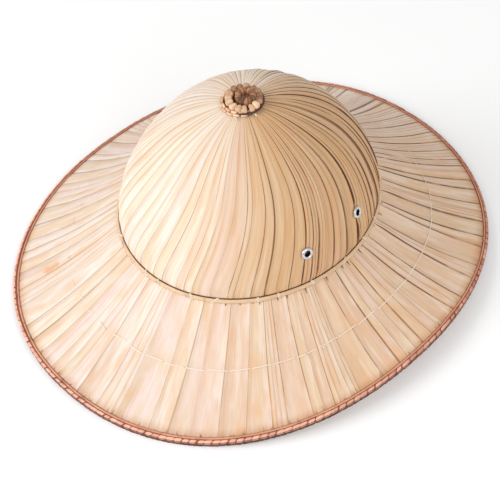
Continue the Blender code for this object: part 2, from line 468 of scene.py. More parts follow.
# Leaves: each is a strip whose high-angle edge lies raised on the next one's tucked edge.
def leafAngle(bench, sizes, number, along):
    # The angle of a leaf's edge. Hand cutting makes no two leaves as wide, at the fold or at the rim.
    turn = math.tau * number / sizes["Leaves"]
    even = sizes["Widest"] + turn + sizes["Crowding"] * sine(turn)
    whole = number % sizes["Leaves"]
    near = chance(whole, sizes["Seed"], -1.0, 1.0)
    far = chance(whole, sizes["Seed"] + 1.0, -1.0, 1.0)
    wave = noise(gather(bench, whole * 5.1, along * sizes["Waves"], sizes["Seed"]), detail=1.0)
    uneven = between(near, between(near, far, 0.45), along) * sizes["Unevenness"]
    twist = sizes["Twist"] * ease(along, 0.6, 0.0)
    return even + twist + (uneven + (wave - 0.5) * sizes["Wobble"]) / sizes["Leaves"]


leafRanges = {
    "evenness": (0.65, 1.5),  # powers that shift the folds within a leaf
    "gathered": (-0.35, 0.75),  # cosines between which the leaves become gathered
    "folded": (1.4, 1.6),  # from one fold to two
    "roundness": 0.45,  # power of a pleat's section
    "narrowest": 0.25,  # least share of an even leaf's width
}


def leafStrips(bench, sizes, surface):
    strips, local, number = copyUnit(sheet(bench, sizes["Columns"], sizes["Rows"]), sizes["Leaves"])
    seed = sizes["Seed"]
    plain = local[0] + 0.5
    along = local[1] + 0.5
    # The folds of a leaf are not as wide as each other, so its width is measured unevenly.
    across = plain ** chance(number, seed + 6.0, *leafRanges["evenness"])
    start = leafAngle(bench, sizes, number, along)
    end = leafAngle(bench, sizes, number + 1.0, along)
    angle = between(start - (end - start) * sizes["Tuck"], end, plain)
    # More folds where the leaves were gathered, on the wearer's left and towards the back.
    turn = math.tau * number / sizes["Leaves"] + sizes["Widest"]
    gathered = ease(cosine(turn - sizes["Gathered Side"]), *leafRanges["gathered"])
    folds = chance(number, seed + 2.0, sizes["Least Folds"], sizes["Most Folds"])
    folds = maths("MAXIMUM", maths("ROUND", folds + gathered * sizes["Gathering"]), 1.0)
    dressed = storeAll(strips, {
        "across": across,
        "along": along,
        "folds": folds,
        "wide": maths("MAXIMUM", (end - start) * sizes["Leaves"] / math.tau, leafRanges["narrowest"]),
        "tone": chance(number, seed + 3.0),
        "shade": chance(number, seed + 4.0),
        "angle": angle,
    })
    pleat = magnitude(sine(across * folds * math.pi)) ** leafRanges["roundness"]
    pleated = ease(folds, *leafRanges["folded"])
    fromMiddle = across * 2.0 - 1.0
    bow = 1.0 - fromMiddle * fromMiddle
    swell = sizes["Bow"] * bow + sizes["Pleat"] * pleat * pleated * (0.5 + gathered)
    swell = swell + sizes["Step"] * across * (0.4 + 0.7 * gathered)
    swell = swell + chance(number, seed + 5.0) * sizes["Looseness"]
    return moveTo(dressed, surface(angle, along, swell))


def easeOffEyelets(bench, place):
    # Low under an eyelet's flange, where the leaves are pinched, and 1 clear of it.
    nearest = 1.0
    for matrix in eyelets.values():
        ends = {0: gather(bench, *place), 1: tuple(matrix.translation)}
        gap = bench.node("ShaderNodeVectorMath", {"operation": "DISTANCE"}, ends, "Value")
        nearest = maths("MINIMUM", gap, nearest)
    return 0.35 + 0.65 * ease(nearest, eyeletForm["flange"] * 0.5, eyeletForm["flange"] * 1.2)


def crownSurface(bench, sizes, away):
    def place(angle, along, swell):
        share = between(sizes["Foot Share"], sizes["Top Share"], along)
        narrow = cosine(share * (math.pi / 2))
        flat = crownPlace(angle, share, 0.0)
        free = ease(along, 0.0, 0.10) * easeOffEyelets(bench, flat)
        lift = swell * free * (0.12 + 0.88 * narrow)
        x, y, height = crownPlace(angle, share, sizes["Level"] + lift * away)
        return x, y, height - sizes["Foot Drop"] * ease(along, 0.06, 0.0)
    return place


def brimSurface(bench, sizes, away):
    def place(angle, along, swell):
        free = ease(along, 0.02, 0.14) * ease(along, 1.0, 0.90)
        return brimPlace(angle, along, between(sizes["Start"], sizes["Stop"], along),
                         sizes["Level"] + swell * free * away)
    return place


# Scale across the leaf, scale along it and detail of each grain in the leaf.
leafGrain = {
    "broad": (2.4, 1.6, 2.0),
    "fine": (24.0, 2.2, 3.0),
    "veins": (80.0, 3.0, 2.0),
    "sheen": (0.9, 4.0, 1.0),
    "drift": (0.6, 5.0, 2.0),
}


def makeLeafFinish(name, colours, lines):
    material, bench = startFinish(name)
    across, along, tone, shade = attributes(bench, "across", "along", "tone", "shade")
    folds, angle, wide = attributes(bench, "folds", "angle", "wide")
    # Lines keep their width where the leaves narrow towards the button.
    wide = wide * between(1.0, lines["topWidth"], ease(along, 0.45, 0.88))

    def streaks(grain):
        acrossScale, alongScale, detail = leafGrain[grain]
        where = gather(bench, across * acrossScale, along * alongScale, tone * 97.0 + shade * 31.0)
        return noise(where, detail=detail, roughness=0.6)

    # Within a leaf the tone drifts across and along, and each fold takes a tone of its own.
    fold = maths("FLOOR", across * folds)
    fallen = across * folds - fold
    broad = streaks("broad")
    fine = streaks("fine")
    veins = streaks("veins")
    warmth = noise(gather(bench, across * 1.8, along * 3.5, tone * 61.0 + fold * 7.0))
    colour = bench.node("ShaderNodeValToRGB", {"stops": colours["tones"]}, {
        "Fac": (tone + fold * 0.37) % 1.0 * 0.8 + (broad - 0.5) * 1.1 + 0.1})
    for layer, grain in (("warm", warmth), ("pale", warmth), ("streak", fine), ("vein", veins)):
        layerColour, start, full, strength = colours[layer]
        colour = blend(colour, layerColour, ease(grain, start, full) * strength)

    # Each fold has painted shade on the side that turns down, and a painted highlight where it turns over.
    colour = blend(colour, lines["tint"], 1.0, "MULTIPLY")
    colour = blend(colour, colours["shade"], ease(fallen, 0.45, 1.0) * lines["foldShade"], "MULTIPLY")
    glint = ease(fallen, 0.0, 0.06) * ease(fallen, 0.26, 0.08) * ease(streaks("sheen"), 0.45, 0.7)
    colour = blend(colour, colours["glint"], glint * lines["glint"])

    # One side is darker and browner, painted shade on the side away from the key light. The leaf is browner
    # towards the rim, and water has marked one spot.
    # Painted shade: darker and browner on the side of the hat away from the key light.
    shadedSide = ease(sine(angle + lines["weatherTurn"]), lines["weatherStart"], 1.0)
    colour = blend(colour, lines["weathered"], shadedSide, "MULTIPLY")
    if lines["stain"]:
        colour = blend(colour, colours["stain"], stainOn(bench, angle, along, lines["stain"]), "MULTIPLY")
    # The leaf turns browner towards the rim.
    if lines["dried"]:
        dried = ease(along + (broad - 0.5) * 0.06, *lines["dried"])
        colour = blend(colour, colours["brown"], dried, "MULTIPLY")

    # The free edge is darker, partly its own brown margin and partly painted shadow; painted shadow lies
    # along the tucked edge, and painted shade along each fold's crease.
    edge = ease(across, 1.0 - lines["edgeWidth"] / wide, 1.0 - lines["edgeWidth"] * 0.35 / wide)
    tucked = ease(across, lines["tuckWidth"] / wide, 0.0)
    crease = ease(magnitude(sine(across * folds * math.pi)), lines["creaseWidth"] * folds / wide, 0.0)
    crease = crease * ease(folds, *leafRanges["folded"]) * ease(magnitude(across - 0.5), 0.5, 0.42)
    # Painted shade: the lines are drawn darker on the side of the hat away from the key light.
    wearAndShade = ease(sine(angle + lines["wornTurn"]), lines["wornStart"], lines["wornEnd"])
    dark = maths("MAXIMUM", edge, crease * lines["creaseShare"])
    dark = dark * between(0.45 + 0.75 * shade, 0.85 + 0.4 * shade, wearAndShade)
    dark = dark * between(1.0, lines["outerEnd"], along)
    dark = maths("MINIMUM", dark * ease(streaks("drift"), 0.15, 0.55) + tucked * 0.5, 1.0)
    # Painted shade along the leaf's foot, where it meets the fold cane.
    foot = ease(along, lines["footWidth"], lines["footWidth"] * 0.4) * lines["footDark"]
    drawn = dark * between(lines["faint"], lines["strong"], wearAndShade)
    colour = blend(colour, colours["line"], maths("MAXIMUM", drawn, foot))
    relief = fine * 0.6 + veins * 0.4 - dark * 0.5
    roughness = 0.46 + 0.25 * fine
    return endFinish(material, colour, roughness, relief, strength=0.35, depth=0.0004, specular=0.35)


def stainOn(bench, angle, along, spot):
    # A small water mark at one place of the leaf, with a ragged edge.
    ragged = noise(objectPlace(bench), 140.0, 3.0)
    sideways = (angle - math.radians(spot["degrees"]) + math.pi) % math.tau - math.pi
    endways = along - spot["share"]
    away = maths("SQRT", (sideways * spot["reach"] / spot["wide"]) ** 2.0
                 + (endways * spot["run"] / spot["long"]) ** 2.0)
    return ease(away + (ragged - 0.5) * 1.2, 1.0, 0.4) * spot["strength"]


# Layers: a colour, where in its grain it starts and is full, and its strength.
leafColours = {
    "tones": (
        (0.0, (0.95, 0.82, 0.67)),
        (0.18, (0.91, 0.70, 0.49)),
        (0.36, (0.97, 0.88, 0.77)),
        (0.55, (0.88, 0.69, 0.53)),
        (0.72, (0.95, 0.80, 0.73)),
        (0.88, (0.87, 0.72, 0.51)),
        (1.0, (0.94, 0.84, 0.71)),
    ),
    "warm": ((0.92, 0.63, 0.40), 0.52, 0.74, 0.7),
    "pale": ((0.98, 0.91, 0.84), 0.44, 0.26, 0.6),
    "streak": ((0.80, 0.56, 0.37), 0.50, 0.74, 0.5),
    "vein": ((0.68, 0.46, 0.31), 0.52, 0.76, 0.40),
    "shade": (0.80, 0.72, 0.64),
    "glint": (0.98, 0.92, 0.84),
    "line": (0.13, 0.045, 0.014),
    "stain": (0.96, 0.62, 0.36),
    "brown": (0.84, 0.70, 0.58),
}
# The leaves inside the crown take the outside tones darkened, with a dimmer glint: painted shade.
insideShade = 0.6
insideColours = {
    **leafColours,
    "tones": [(place, tuple(part * insideShade for part in tone)) for place, tone in leafColours["tones"]],
    "warm": ((0.50, 0.35, 0.22), 0.52, 0.74, 0.7),
    "pale": ((0.55, 0.47, 0.38), 0.44, 0.26, 0.6),
    "glint": (0.6, 0.5, 0.4),
}
# Widths are shares of a leaf's width, or of its length for the foot. Turns are angles round the hat.
crownLines = {
    "edgeWidth": 0.115, "tuckWidth": 0.12, "creaseWidth": 0.11, "topWidth": 0.85, "footWidth": 0.03,
    "creaseShare": 1.0, "foldShade": 0.8, "footDark": 0.65, "glint": 0.6, "tint": (0.965, 0.96, 0.955),
    "weathered": (0.835, 0.65, 0.45), "weatherStart": -0.35, "weatherTurn": 0.35,
    "faint": 0.33, "strong": 1.0, "wornTurn": 0.75, "wornStart": -0.80, "wornEnd": 0.75, "outerEnd": 1.0,
    "dried": None, "stain": None,
}
brimLines = {
    "edgeWidth": 0.08, "tuckWidth": 0.08, "creaseWidth": 0.08, "topWidth": 1.0, "footWidth": 0.012,
    "creaseShare": 0.7, "foldShade": 0.6, "footDark": 0.6, "glint": 0.5, "tint": (0.915, 0.885, 0.90),
    "weathered": (1.0, 0.90, 0.775), "weatherStart": -0.2, "weatherTurn": 0.3,
    "faint": 0.34, "strong": 0.92, "wornTurn": 0.95, "wornStart": -0.75, "wornEnd": 0.95, "outerEnd": 0.70,
    "dried": (0.885, 0.975),
    "stain": {
        "degrees": 215.5, "share": 0.66, "reach": 0.15, "run": 0.074, "wide": 0.0045, "long": 0.008,
        "strength": 0.75,
    },
}
crownLeafFinish = makeLeafFinish("crown_leaf_finish", leafColours, crownLines)
brimLeafFinish = makeLeafFinish("brim_leaf_finish", leafColours, brimLines)
insideLeafFinish = makeLeafFinish("inside_leaf_finish", insideColours, crownLines)


def growLeaves(name, sizes, surface, away, finish):
    def layOut(bench, inputs):
        return leafStrips(bench, inputs, surface(bench, inputs, away))
    return growPiece(name, sizes, layOut, finish, solid=False)


leafThickness = 0.00035
crownLeaves = {
    "Leaves": 74, "Columns": 17, "Rows": 32, "Seed": 11,
    "Widest": math.radians(205.0), "Crowding": 0.30, "Unevenness": 2.5, "Twist": 0.20,
    "Waves": 3.0, "Wobble": 0.9, "Tuck": 0.16, "Looseness": 0.0002,
    "Least Folds": -1.6, "Most Folds": 2.3, "Gathered Side": 0.7, "Gathering": 2.7,
    "Bow": 0.0006, "Pleat": 0.0008, "Step": 0.0006, "Level": -0.0006,
    "Foot Share": 0.0, "Top Share": shareAtRadius(0.0035), "Foot Drop": 0.0,
}
crown = growLeaves("crown_leaves", crownLeaves, crownSurface, 1.0, crownLeafFinish)

brimLeaves = {
    "Leaves": 72, "Columns": 15, "Rows": 30, "Seed": 37,
    "Widest": math.radians(165.0), "Crowding": 0.25, "Unevenness": 2.5, "Twist": 0.0,
    "Waves": 2.0, "Wobble": 0.5, "Tuck": 0.12, "Looseness": 0.0001,
    "Least Folds": -2.4, "Most Folds": 3.6, "Gathered Side": 0.7, "Gathering": 1.6,
    "Bow": 0.0003, "Pleat": 0.0005, "Step": 0.0006, "Level": 0.0,
    "Start": -0.0012, "Stop": -0.0012,
}
brim = growLeaves("brim_leaves", brimLeaves, brimSurface, 1.0, brimLeafFinish)

crownInside = {
    **crownLeaves,
    "Rows": 24, "Seed": 61, "Least Folds": -1.0, "Bow": 0.0003, "Pleat": 0.0002, "Step": 0.0004,
    "Level": leafThickness - hatForm["leafWall"], "Foot Drop": 0.0022,
}
crownUnder = growLeaves("crown_inside_leaves", crownInside, crownSurface, -1.0, insideLeafFinish)

# The wall's thickness measured straight down through the sloping brim.
brimRun = (hatForm["rimHalfLength"] + hatForm["rimHalfWidth"]
           - hatForm["foldHalfLength"] - hatForm["foldHalfWidth"]) / 2
uprightWall = hatForm["leafWall"] / math.cos(math.atan2(hatForm["brimDrop"], brimRun))
brimInside = {
    **brimLeaves,
    "Rows": 20, "Seed": 83, "Bow": 0.0002, "Pleat": 0.0003, "Step": 0.0004,
    "Level": leafThickness - uprightWall,
}
brimUnder = growLeaves("brim_inside_leaves", brimInside, brimSurface, -1.0, brimLeafFinish)

# Holes in the leaves: cut inside a barrel's clearance, after the faces near it are made finer.
piercing = {
    "nearby": 0.7 * eyeletForm["flange"],
    "cutRadius": eyeletForm["bore"] / 2 + 0.0006,
    "depth": 0.01,
    "finestEdge": 0.0007,
    "rounds": 2,
}


def pierceLeaves(piece):
    # Opens the leaves inside each eyelet's barrel. The ragged edge stays under the flange.
    build = bmesh.new()
    build.from_mesh(piece.data)
    for matrix in eyelets.values():
        axis = matrix.to_3x3().col[2]

        def facesWithin(radius):
            found = []
            for face in build.faces:
                away = face.calc_center_median() - matrix.translation
                reach = away.dot(axis)
                if abs(reach) < piercing["depth"] and (away - axis * reach).length < radius:
                    found.append(face)
            return found

        for _ in range(piercing["rounds"]):
            edges = {edge for face in facesWithin(piercing["nearby"]) for edge in face.edges
                     if edge.calc_length() > piercing["finestEdge"]}
            bmesh.ops.subdivide_edges(build, edges=list(edges), cuts=1, use_grid_fill=True)
        bmesh.ops.delete(build, geom=facesWithin(piercing["cutRadius"]), context="FACES")
    build.to_mesh(piece.data)
    build.free()


topInside = {"radius": 0.0069, "segments": 36}


def closeTopInside(piece):
    # The flat round of leaf under the button, where the inner leaves come together.
    centre = Vector((0.0, 0.0, crownFoot + hatForm["crownRise"] - hatForm["leafWall"]))
    build = bmesh.new()
    build.from_mesh(piece.data)
    bmesh.ops.create_circle(build, cap_ends=True, segments=topInside["segments"],
                            radius=topInside["radius"], matrix=Matrix.Translation(centre))
    build.to_mesh(piece.data)
    build.free()


pierceLeaves(crown)
pierceLeaves(crownUnder)
closeTopInside(crownUnder)
for piece, nodes in ((crown, ["crown"]), (brim, ["brim"]), (crownUnder, []), (brimUnder, [])):
    wall = piece.modifiers.new("leaf thickness", "SOLIDIFY")
    wall.thickness = leafThickness
    wall.offset = -1.0
    settle(piece, "palm_leaf", *nodes)
print("leaves laid")


# Cane: hoops that run right round, and blocks, lumps and ties set side by side along them.
def makeCaneFinish(name, light, deep, gap):
    material, bench = startFinish(name)
    across, along, tone = attributes(bench, "across", "along", "tone")
    fibre = noise(gather(bench, across * 9.0, along * 1.5, tone * 53.0), detail=3.0)
    spot = noise(objectPlace(bench), 160.0)
    body = blend(deep, light, ease(tone * 0.6 + fibre * 0.7, 0.25, 0.95))
    colour = blend(body, gap, ease(spot, 0.58, 0.75) * 0.5)
    roughness = 0.42 + 0.25 * spot
    return endFinish(material, colour, roughness, fibre, strength=0.4, depth=0.0003, specular=0.4)


def foldCourse(angle, across, up):
    return brimPlace(angle, 0.0, across, up)


def rimCourse(angle, across, up):
    return brimPlace(angle, 1.0, across, up)


def roundCourse(middleX, middleY):
    # The button was tied by hand, so none of its rounds has quite the same middle.
    def course(angle, across, up):
        return middleX + across * sine(angle), middleY + across * cosine(angle), up
    return course


def hoopLayOut(course):
    # A strand with a rounded section, swept right round a course and joined to itself.
    def layOut(bench, sizes):
        local = split(bench.node("GeometryNodeInputPosition"))
        across = local[0] + 0.5
        along = local[1] + 0.5
        angle = -along * math.tau
        wander = noise(gather(bench, sine(angle) * 7.0, cosine(angle) * 7.0, sizes["Seed"]))
        dressed = storeAll(sheet(bench, sizes["Sides"], sizes["Around"]), {
            "across": across, "along": along * sizes["Grain"], "tone": wander})
        strayed = sizes["Stray"] * ease(cosine(angle - sizes["Stray Side"]), -0.3, 0.7)
        swing = (wander - 0.5) * sizes["Wander"] - strayed
        side = across * math.tau
        sideways, upwards = (
            maths("SIGN", wave) * magnitude(wave) ** sizes["Flatness"] for wave in (cosine(side), sine(side)))
        place = course(angle, sizes["Middle"] + swing + sideways * sizes["Width"] * 0.5,
                       sizes["Foot"] + sizes["Height"] * (0.5 + 0.5 * upwards))
        return weld(moveTo(dressed, place), 2 * weldDistance)
    return layOut


def blockLayOut(course):
    # Short rounded blocks side by side. A slant turns them into the lumps of a twisted strand.
    def layOut(bench, sizes):
        cube = bench.node("GeometryNodeMeshCube", {}, {
            "Size": (1.0, 1.0, 1.0),
            "Vertices X": sizes["Sides"], "Vertices Y": 3, "Vertices Z": sizes["Cuts"]})
        blocks, (across, up, along), number = copyUnit(cube, sizes["Blocks"])
        seed = sizes["Seed"]
        middle = math.tau * (number + 0.5) / sizes["Blocks"]
        # Painted light: the blocks are paler on the side of the hat that faces the key light.
        litSide = ease(cosine(middle - sizes["Pale Side"]), -0.7, 0.5)
        dressed = storeAll(blocks, {
            "across": across + 0.5,
            "along": along + 0.5,
            "tone": between(chance(number, seed), litSide, sizes["Paleness"]),
        })
        ends = along * along * 4.0
        rounded = 1.0 - sizes["Rounding"] * ends * ends
        fill = sizes["Fill"] * chance(number, seed + 1.0, 0.86, 1.12)
        step = along * fill + across * sizes["Slant"] + chance(number, seed + 2.0, -0.08, 0.08)
        angle = math.tau * (number + 0.5 + step) / sizes["Blocks"]
        corner = 1.0 - sizes["Rounding"] * across * across * 2.0
        wide = sizes["Width"] * chance(number, seed + 3.0, 0.92, 1.06)
        high = sizes["Height"] * chance(number, seed + 4.0, 0.88, 1.08)
        rise = 0.5 + up * rounded * corner
        return moveTo(dressed, course(
            angle, sizes["Middle"] + across * wide * rounded, sizes["Foot"] + high * rise))
    return layOut


foldCane = {
    "Sides": 15, "Around": 361, "Grain": 260.0, "Seed": 3.0, "Wander": 0.0006, "Flatness": 0.75,
    "Middle": 0.0013, "Width": 0.0018, "Foot": 0.0003, "Height": 0.0016, "Stray": 0.0, "Stray Side": 0.0,
}
paleCaneFinish = makeCaneFinish(
    "pale_cane_finish", (0.84, 0.60, 0.39), (0.62, 0.39, 0.22), (0.32, 0.16, 0.08))
dress("fold_cane_strand", foldCane, hoopLayOut(foldCourse), paleCaneFinish, "pale_cane", "fold_cane")

rimBed = {
    "Sides": 13, "Around": 481, "Grain": 300.0, "Seed": 5.0, "Wander": 0.0002, "Flatness": 0.5,
    "Middle": -0.0021, "Width": 0.0040, "Foot": 0.0001, "Height": 0.0008, "Stray": 0.0008, "Stray Side": 4.9,
}
# The bed's dark red is partly its own colour, in the ties between the blocks, and partly painted shade in the
# narrow gaps beside the strands.
rimDarkFinish = makeCaneFinish(
    "rim_dark_finish", (0.34, 0.075, 0.035), (0.18, 0.036, 0.02), (0.05, 0.014, 0.01))
dress("rim_cane_bed", rimBed, hoopLayOut(rimCourse), rimDarkFinish, "rim_cane")

rimInner = {
    "Sides": 13, "Around": 481, "Grain": 300.0, "Seed": 8.0, "Wander": 0.0006, "Flatness": 0.6,
    "Middle": -0.0031, "Width": 0.0011, "Foot": 0.0003, "Height": 0.0011, "Stray": 0.0013, "Stray Side": 4.9,
}
rimInnerFinish = makeCaneFinish(
    "rim_inner_finish", (0.80, 0.42, 0.26), (0.42, 0.15, 0.08), (0.20, 0.06, 0.03))
dress("rim_cane_inner_strand", rimInner, hoopLayOut(rimCourse), rimInnerFinish, "rim_cane", "rim_cane_inner")

rimBlocks = {
    "Blocks": 192, "Sides": 4, "Cuts": 6, "Seed": 21, "Rounding": 0.18, "Fill": 0.93, "Slant": 0.20,
    "Middle": -0.0012, "Width": 0.0017, "Foot": -0.0008, "Height": 0.0020, "Pale Side": 3.2, "Paleness": 0.45,
}
rimBlockFinish = makeCaneFinish(
    "rim_block_finish", (0.95, 0.54, 0.39), (0.50, 0.19, 0.12), (0.28, 0.08, 0.045))
dress("rim_cane_blocks", rimBlocks, blockLayOut(rimCourse), rimBlockFinish, "rim_cane", "rim_cane_outer")

rimEdge = {
    "Blocks": 270, "Sides": 4, "Cuts": 7, "Seed": 29, "Rounding": 0.36, "Fill": 1.35, "Slant": 0.45,
    "Middle": -0.0017, "Width": 0.0022, "Foot": -0.0042, "Height": 0.0035, "Pale Side": 0.0, "Paleness": 0.0,
}
# The twist's dark brown is partly its own colour and partly painted shade, as it lies low under the rim's
# edge.
rimEdgeFinish = makeCaneFinish(
    "rim_edge_finish", (0.17, 0.06, 0.035), (0.06, 0.02, 0.014), (0.02, 0.009, 0.007))
dress("rim_cane_twist", rimEdge, blockLayOut(rimCourse), rimEdgeFinish, "rim_cane", "rim_cane_edge")
print("rim bound")


def joinPieces(name, parts):
    # Several grown pieces become one, each with the material that it has.
    build = bmesh.new()
    materials = []
    for part in parts:
        start = len(build.faces)
        build.from_mesh(part.data)
        build.faces.ensure_lookup_table()
        for face in build.faces[start:]:
            face.material_index = len(materials)
        materials.append(part.data.materials[0])
    mesh = bpy.data.meshes.new(name)
    build.to_mesh(mesh)
    build.free()
    for material in materials:
        mesh.materials.append(material)
    for part in parts:
        bpy.data.objects.remove(part)
    return addObject(name, mesh)


# Button: fine strands tied round its foot, fat wrapped blocks above them, a twisted knot on top.
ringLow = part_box("button_ring")[0]
knotLow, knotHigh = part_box("button_knot")
footStrands = {
    "Blocks": 16, "Sides": 4, "Cuts": 5, "Seed": 43, "Rounding": 0.35, "Fill": 0.86, "Slant": 0.0,
    "Middle": 0.0133, "Width": 0.0013, "Foot": ringLow.z - 0.0001, "Height": 0.0018,
    "Pale Side": 3.5, "Paleness": 0.5,
}
upperStrands = {
    **footStrands,
    "Blocks": 15, "Seed": 47, "Middle": 0.0121, "Foot": ringLow.z + 0.0009, "Height": 0.0021,
}
buttonBed = {
    "Sides": 15, "Around": 73, "Grain": 30.0, "Seed": 4.0, "Wander": 0.0004, "Flatness": 0.9,
    "Middle": 0.0098, "Width": 0.0078, "Foot": ringLow.z + 0.0001, "Height": 0.0028,
    "Stray": 0.0, "Stray Side": 0.0,
}
wrappedBlocks = {
    "Blocks": 15, "Sides": 6, "Cuts": 6, "Seed": 52, "Rounding": 0.22, "Fill": 0.82, "Slant": 0.08,
    "Middle": 0.0102, "Width": 0.0050, "Foot": ringLow.z + 0.0002, "Height": 0.0052,
    "Pale Side": 2.7, "Paleness": 0.45,
}
footCourse = roundCourse(-0.0009, -0.0010)
blockCourse = roundCourse(0.0006, 0.0006)
# A near-black bed under the wrapped blocks, showing in the gaps between them: painted shade.
buttonGapShadeFinish = makeCaneFinish(
    "button_gap_finish", (0.11, 0.04, 0.02), (0.05, 0.02, 0.01), (0.02, 0.01, 0.006))
buttonPaleFinish = makeCaneFinish(
    "button_pale_finish", (0.94, 0.64, 0.41), (0.34, 0.14, 0.07), (0.14, 0.05, 0.025))
buttonRing = joinPieces("button_wrapped_ring", [
    growPiece("button_foot_strands", footStrands, blockLayOut(footCourse), buttonPaleFinish),
    growPiece("button_upper_strands", upperStrands, blockLayOut(footCourse), buttonPaleFinish),
    growPiece("button_bed", buttonBed, hoopLayOut(blockCourse), buttonGapShadeFinish),
    growPiece("button_blocks", wrappedBlocks, blockLayOut(blockCourse), buttonPaleFinish),
])
settle(buttonRing, "pale_cane", "button_ring")

knotTwist = {
    "Blocks": 13, "Sides": 6, "Cuts": 7, "Seed": 57, "Rounding": 0.55, "Fill": 1.30, "Slant": 0.50,
    "Middle": 0.0049, "Width": 0.0042, "Foot": knotLow.z + 0.0002, "Height": knotHigh.z - knotLow.z,
    "Pale Side": 0.0, "Paleness": 0.0,
}
knotHeart = {**knotTwist, "Blocks": 6, "Seed": 59, "Middle": 0.0027, "Width": 0.0020, "Height": 0.0030}
knotCourse = roundCourse(0.0013, 0.0014)
knotFinish = makeCaneFinish(
    "button_knot_finish", (0.50, 0.24, 0.12), (0.08, 0.030, 0.016), (0.03, 0.012, 0.008))
buttonKnot = joinPieces("button_twisted_knot", [
    growPiece("button_twist", knotTwist, blockLayOut(knotCourse), knotFinish),
    growPiece("button_heart", knotHeart, blockLayOut(knotCourse), knotFinish),
])
settle(buttonKnot, "button_cane", "button_knot")
print("button wound")


# Eyelets: a rolled bead outside, a barrel through the leaves and a flat flange inside.
eyeletTurning = {
    "sides": 40,
    "beadSteps": 10,
    "beadRise": 0.0014,
    "beadRoundness": 0.8,
    "seat": 0.0005,
    "beadSeat": 0.0006,
    "backSeat": 0.0006,
    "barrelWall": 0.0004,
    "backFlange": 0.0068,
    "metal": 0.0004,
    "sharpAngle": math.radians(50.0),
}


def makeNickelFinish(name, bright, dim):
    material, bench = startFinish(name)
    place = objectPlace(bench)
    haze = noise(place, 420.0, 3.0)
    colour = blend(bright, dim, ease(noise(place, 90.0), 0.45, 0.7) * 0.5)
    roughness = 0.20 + 0.22 * haze
    return endFinish(material, colour, roughness, haze, strength=0.15, depth=0.0001, metallic=1.0)


def eyeletProfile():
    bore = eyeletForm["bore"] / 2
    flange = eyeletForm["flange"] / 2
    back = -hatForm["leafWall"] - eyeletTurning["backSeat"]
    profile = []
    for number in range(eyeletTurning["beadSteps"] + 1):
        turn = math.pi * number / eyeletTurning["beadSteps"]
        radius = (bore + flange) / 2 - (flange - bore) / 2 * math.cos(turn)
        rise = eyeletTurning["beadRise"] * math.sin(turn) ** eyeletTurning["beadRoundness"]
        profile.append((radius, eyeletTurning["beadSeat"] + rise))
    barrel = bore + eyeletTurning["barrelWall"]
    backFlange = eyeletTurning["backFlange"] / 2
    return profile + [
        (barrel, eyeletTurning["seat"]),
        (barrel, back),
        (backFlange, back),
        (backFlange, back - eyeletTurning["metal"]),
        (bore, back - eyeletTurning["metal"]),
    ]


def turnEyelet(node, matrix, *finishes):
    build = bmesh.new()
    profile = [build.verts.new((radius, 0.0, height)) for radius, height in eyeletProfile()]
    loop = [build.edges.new(pair) for pair in zip(profile, profile[1:] + profile[:1])]
    bmesh.ops.spin(build, geom=profile + loop, cent=(0.0, 0.0, 0.0), axis=(0.0, 0.0, 1.0),
                   angle=math.tau, steps=eyeletTurning["sides"], use_merge=True)
    bmesh.ops.remove_doubles(build, verts=build.verts[:], dist=weldDistance)
    bmesh.ops.recalc_face_normals(build, faces=build.faces[:])
    # Faces inside the bore take the second, near-black finish: painted shade.
    boreReach = eyeletForm["bore"] / 2 + eyeletTurning["barrelWall"] / 2
    for face in build.faces:
        middle = face.calc_center_median()
        if math.hypot(middle.x, middle.y) < boreReach:
            face.material_index = 1
    build.transform(matrix)
    mesh = bpy.data.meshes.new(node + "_turned")
    build.to_mesh(mesh)
    build.free()
    mesh.shade_smooth()
    mesh.set_sharp_from_angle(angle=eyeletTurning["sharpAngle"])
    for finish in finishes:
        mesh.materials.append(finish)
    settle(addObject(node + "_turned", mesh), "nickel", node)


nickelFinish = makeNickelFinish("nickel_finish", (0.72, 0.72, 0.75), (0.46, 0.44, 0.42))
# Near-black nickel for the bore: painted shade.
boreShadeFinish = makeNickelFinish("nickel_bore_finish", (0.12, 0.10, 0.09), (0.05, 0.04, 0.035))
for node, matrix in eyelets.items():
    turnEyelet(node, matrix, nickelFinish, boreShadeFinish)
print("eyelets turned")


# Thread: whippings round the fold cane, a running stitch on the brim and loose ends at its knots.
def makeThreadFinish(name, light, deep):
    material, bench = startFinish(name)
    along, across = attributes(bench, "along", "across")
    ply = 0.5 + 0.5 * sine((along * 14.0 + across) * math.tau)
    colour = blend(light, deep, ply * 0.5)
    return endFinish(material, colour, 0.75 + 0.15 * ply, ply, strength=0.5, depth=0.0001)


def threadUnits(bench, sizes, count):
    # Flat sheets, one for each thread, which its rule rolls into tubes: X goes round and Y along.
    tubes, local, number = copyUnit(sheet(bench, sizes["Sides"], sizes["Cuts"]), count)
    across = local[0] + 0.5
    along = local[1] + 0.5
    return storeAll(tubes, {"across": across, "along": along}), across * math.tau, along, number


def whippingLayOut(bench, sizes):
    tubes, rolled, along, number = threadUnits(bench, sizes, sizes["Whippings"] * sizes["Turns"])
    whipping = maths("FLOOR", (number + 0.5) / sizes["Turns"])
    turnOf = number - whipping * sizes["Turns"]
    place = chance(whipping, sizes["Seed"], -0.4, 0.4)
    aside = (turnOf - 1.0) * sizes["Pitch"] / sizes["Reach"]
    angle = math.tau * (whipping + place) / sizes["Whippings"] + aside
    loose = 1.0 + chance(number, sizes["Seed"] + 1.0, 0.0, 0.12)
    wound = along * math.tau
    out = sizes["Radius"] * cosine(rolled)
    sideways = (sizes["Wide"] * loose + out) * cosine(wound)
    upwards = (sizes["High"] * loose + out) * sine(wound)
    lean = chance(whipping, sizes["Seed"] + 2.0, -1.8, 3.0) * sizes["Pitch"]
    slanted = angle + (sizes["Radius"] * sine(rolled) + cosine(wound) * lean) / sizes["Reach"]
    return weld(moveTo(tubes, foldCourse(
        slanted, sizes["Middle"] + sideways, sizes["Level"] + upwards)))


